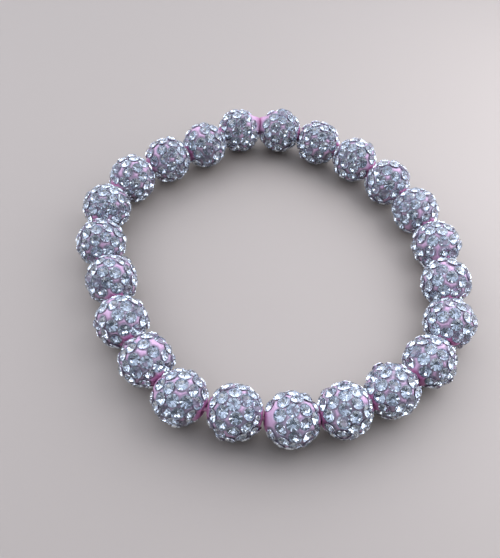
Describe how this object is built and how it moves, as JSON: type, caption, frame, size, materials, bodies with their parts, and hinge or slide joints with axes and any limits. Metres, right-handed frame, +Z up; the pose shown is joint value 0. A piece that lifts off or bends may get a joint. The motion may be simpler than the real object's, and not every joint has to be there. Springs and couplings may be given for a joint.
{
  "type": "pave crystal bead stretch bracelet",
  "caption": "Stretch bracelet of round clay beads set all over with clear crystals, strung on a closed ring of elastic cord and lying flat.",
  "frame": {"origin": "on the resting plane, under the middle of the loop's outer box", "axes": "+Z up, out of the plane that the bracelet lies on; +Y away from the viewer, along the loop's slightly longer way across"},
  "size_m": [0.0642, 0.0654, 0.008],
  "materials": {
    "crystal_bead": "silver-backed clear crystals, faceted and glossy",
    "bead_clay": "satin polymer clay, pink",
    "elastic_cord": "smooth, slightly clear"
  },
  "bodies": {
    "root": {"bead_01": "crystal_bead", "bead_02": "crystal_bead", "bead_03": "crystal_bead", "bead_04": "crystal_bead", "bead_05": "crystal_bead", "bead_06": "crystal_bead", "bead_07": "crystal_bead", "bead_08": "crystal_bead", "bead_09": "crystal_bead", "bead_10": "crystal_bead", "bead_11": "crystal_bead", "bead_12": "crystal_bead", "bead_13": "crystal_bead", "bead_14": "crystal_bead", "bead_15": "crystal_bead", "bead_16": "crystal_bead", "bead_17": "crystal_bead", "bead_18": "crystal_bead", "bead_19": "crystal_bead", "bead_20": "crystal_bead", "bead_21": "crystal_bead", "bead_22": "crystal_bead", "bead_23": "crystal_bead", "elastic": "elastic_cord"}
  },
  "joints": []
}
